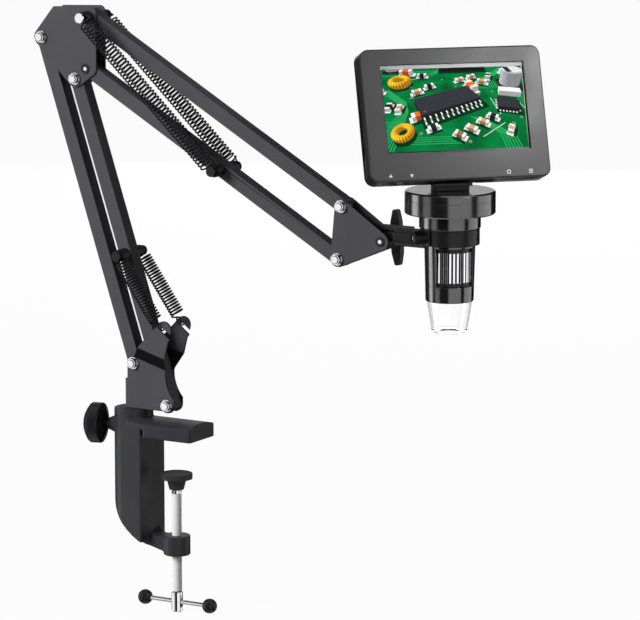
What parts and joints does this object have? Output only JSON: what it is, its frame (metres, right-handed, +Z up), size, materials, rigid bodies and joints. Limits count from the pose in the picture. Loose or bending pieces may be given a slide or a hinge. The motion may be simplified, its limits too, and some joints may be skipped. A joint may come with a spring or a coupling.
{
  "type": "digital microscope on a clamp-on spring arm",
  "caption": "Digital microscope with a tilting display head, held by a ring on a two-stage spring-balanced parallelogram arm with a table clamp.",
  "frame": {"origin": "centre of the upper clamp jaw's contact face, on the axis of the clamp screw", "axes": "+X from the clamp along the arm towards the microscope, +Y across the arm to its left side, +Z up"},
  "size_m": [0.3816, 0.1145, 0.416],
  "materials": {
    "cast": "satin black paint on a casting",
    "sheet": "satin black paint on steel",
    "pad_rubber": "matt",
    "screw_steel": "plain zinc plated",
    "knob_plastic": "fine texture",
    "washer_nylon": "smooth",
    "bright": "bright nickel",
    "bush_nylon": "natural nylon",
    "pin_steel": "bright",
    "sleeve_rubber": "matt",
    "spring_steel": "blackened spring wire",
    "rivet_black": "black",
    "yoke_metal": "bare, warm grey",
    "ring_black": "satin black",
    "body_black": "smooth, half matt",
    "cap_clear": "clear polished plastic",
    "led_board_white": "white solder resist",
    "led_lens": "clear resin over phosphor",
    "board_green": "green solder resist",
    "neck_grey": "moulded dark grey",
    "wheel_chrome": "bright, ribbed",
    "glass_clear": "coated lens glass",
    "frame_black": "fine moulded texture",
    "screen": "display surface, picture shown",
    "cell": "foil pouch",
    "socket_steel": "plated shell",
    "button_grey": "moulded"
  },
  "bodies": {
    "clamp": {"clamp_frame": "cast"},
    "pad": {"clamp_pad": "pad_rubber"},
    "screw": {"clamp_screw": "screw_steel"},
    "tommy": {"tommy_bar": "screw_steel"},
    "lock": {"lock_knob": "knob_plastic", "lock_stud": "screw_steel"},
    "base": {"base_bracket": "sheet", "base_post": "screw_steel", "base_washer": "washer_nylon", "base_bolts": "bright"},
    "lower_rear": {"lower_rear_bar": "sheet", "lower_rear_bushes": "bush_nylon"},
    "lower_front": {"lower_front_bar": "sheet", "lower_front_bushes": "bush_nylon", "lower_spring_pin": "pin_steel", "lower_pin_sleeves": "sleeve_rubber", "lower_springs": "spring_steel"},
    "elbow": {"elbow_plates": "sheet", "elbow_bolts": "bright", "elbow_rivet": "rivet_black", "elbow_spring_pin": "bright", "elbow_pin_sleeves": "sleeve_rubber"},
    "upper_top": {"upper_top_bar": "sheet", "upper_top_bushes": "bush_nylon"},
    "upper_bottom": {"upper_bottom_bar": "sheet", "upper_bottom_bushes": "bush_nylon", "upper_spring_pin": "pin_steel", "upper_pin_sleeves": "sleeve_rubber", "upper_springs": "spring_steel"},
    "end": {"end_plates": "sheet", "end_bolts": "bright", "tilt_bolt": "bright"},
    "yoke": {"ring_yoke": "yoke_metal"},
    "wing": {"wing_knob": "knob_plastic"},
    "ring": {"holder_ring": "ring_black", "ring_screw": "bright"},
    "scope": {"barrel": "body_black", "nose_ring": "body_black", "clear_cap": "cap_clear", "led_board": "led_board_white", "leds": "led_lens", "head_lower": "body_black", "head_cover": "body_black", "camera_board": "board_green", "neck_block": "neck_grey"},
    "wheel": {"focus_wheel": "wheel_chrome"},
    "lens": {"lens_barrel": "body_black", "lens_glass": "glass_clear"},
    "display": {"hinge_pin": "bright", "front_frame": "frame_black", "rear_cover": "frame_black", "display_panel": "screen", "main_board": "board_green", "battery": "cell", "side_sockets": "socket_steel", "cover_screws": "bright"},
    "button_up": {"button_up": "button_grey"},
    "button_down": {"button_down": "button_grey"},
    "button_ok": {"button_ok": "button_grey"},
    "button_menu": {"button_menu": "button_grey"}
  },
  "joints": [
    {"name": "pad_slide", "type": "slide", "parent": "clamp", "child": "pad", "axis": [0, 0, 1], "range_m": [-0.031, 0.024]},
    {"name": "screw_spin", "type": "hinge", "parent": "pad", "child": "screw", "pos_m": [0, 0, -0.09], "axis": [0, 0, 1], "range_deg": [-10368, 6912]},
    {"name": "tommy_slide", "type": "slide", "parent": "screw", "child": "tommy", "axis": [1, 0, 0], "range_m": [-0.017, 0.017]},
    {"name": "lock_turn", "type": "hinge", "parent": "clamp", "child": "lock", "pos_m": [-0.0346, 0, 0.005], "axis": [-0.9659, -0.2588, 0], "range_deg": [0, 720]},
    {"name": "base_swivel", "type": "hinge", "parent": "clamp", "child": "base", "pos_m": [-0.0346, 0, 0], "axis": [0, 0, 1], "range_deg": [-130, 130]},
    {"name": "lower_arm", "type": "hinge", "parent": "base", "child": "lower_rear", "pos_m": [-0.0308, 0, 0.0496], "axis": [0, 1, 0], "range_deg": [-10, 80]},
    {"name": "lower_arm_front", "type": "hinge", "parent": "base", "child": "lower_front", "pos_m": [-0.0035, 0, 0.0223], "axis": [0, 1, 0], "range_deg": [-10, 80], "deforming": ["lower_springs"]},
    {"name": "elbow_level", "type": "hinge", "parent": "lower_rear", "child": "elbow", "pos_m": [-0.10377, 0, 0.27025], "axis": [0, 1, 0], "range_deg": [-80, 10]},
    {"name": "upper_arm", "type": "hinge", "parent": "elbow", "child": "upper_top", "pos_m": [-0.06507, 0, 0.28565], "axis": [0, 1, 0], "range_deg": [-90, 40]},
    {"name": "upper_arm_bottom", "type": "hinge", "parent": "elbow", "child": "upper_bottom", "pos_m": [-0.06787, 0, 0.25015], "axis": [0, 1, 0], "range_deg": [-90, 40], "deforming": ["upper_springs"]},
    {"name": "end_level", "type": "hinge", "parent": "upper_top", "child": "end", "pos_m": [0.134, 0, 0.17025], "axis": [0, 1, 0], "range_deg": [-40, 90]},
    {"name": "holder_tilt", "type": "hinge", "parent": "end", "child": "yoke", "pos_m": [0.1637, 0, 0.14895], "axis": [0, 1, 0], "range_deg": [-60, 60]},
    {"name": "wing_turn", "type": "hinge", "parent": "end", "child": "wing", "pos_m": [0.1637, 0, 0.14895], "axis": [0, 1, 0], "range_deg": [-360, 360]},
    {"name": "holder_roll", "type": "hinge", "parent": "yoke", "child": "ring", "pos_m": [0.2125, 0, 0.15255], "axis": [1, 0, 0], "range_deg": [-90, 90]},
    {"name": "scope_turn", "type": "hinge", "parent": "ring", "child": "scope", "pos_m": [0.2125, 0, 0.15085], "axis": [0, 0, 1], "continuous": true},
    {"name": "focus_turn", "type": "hinge", "parent": "scope", "child": "wheel", "pos_m": [0.2125, 0, 0.15085], "axis": [0, 0, 1], "range_deg": [-271, 271]},
    {"name": "lens_slide", "type": "slide", "parent": "scope", "child": "lens", "axis": [0, 0, 1], "range_m": [-0.004, 0.004]},
    {"name": "display_tilt", "type": "hinge", "parent": "scope", "child": "display", "pos_m": [0.21423, -0.00166, 0.20295], "axis": [-0.6909, -0.723, 0], "range_deg": [-18.8, 56]},
    {"name": "button_up_press", "type": "slide", "parent": "display", "child": "button_up", "axis": [-0.233, 0.2226, 0.9466], "range_m": [0, 0.0006], "stiffness_N_per_m": 900, "springref_m": -0.0004},
    {"name": "button_down_press", "type": "slide", "parent": "display", "child": "button_down", "axis": [-0.233, 0.2226, 0.9466], "range_m": [0, 0.0006], "stiffness_N_per_m": 900, "springref_m": -0.0004},
    {"name": "button_ok_press", "type": "slide", "parent": "display", "child": "button_ok", "axis": [-0.233, 0.2226, 0.9466], "range_m": [0, 0.0006], "stiffness_N_per_m": 900, "springref_m": -0.0004},
    {"name": "button_menu_press", "type": "slide", "parent": "display", "child": "button_menu", "axis": [-0.233, 0.2226, 0.9466], "range_m": [0, 0.0006], "stiffness_N_per_m": 900, "springref_m": -0.0004}
  ],
  "couplings": [
    {"joint": "screw_spin", "follows": "pad_slide", "rad_per_m": 5026.5},
    {"joint": "lower_arm_front", "follows": "lower_arm", "ratio": 1},
    {"joint": "elbow_level", "follows": "lower_arm", "ratio": -1},
    {"joint": "upper_arm_bottom", "follows": "upper_arm", "ratio": 1},
    {"joint": "end_level", "follows": "upper_arm", "ratio": -1},
    {"joint": "focus_turn", "follows": "lens_slide", "rad_per_m": 1178.1}
  ]
}
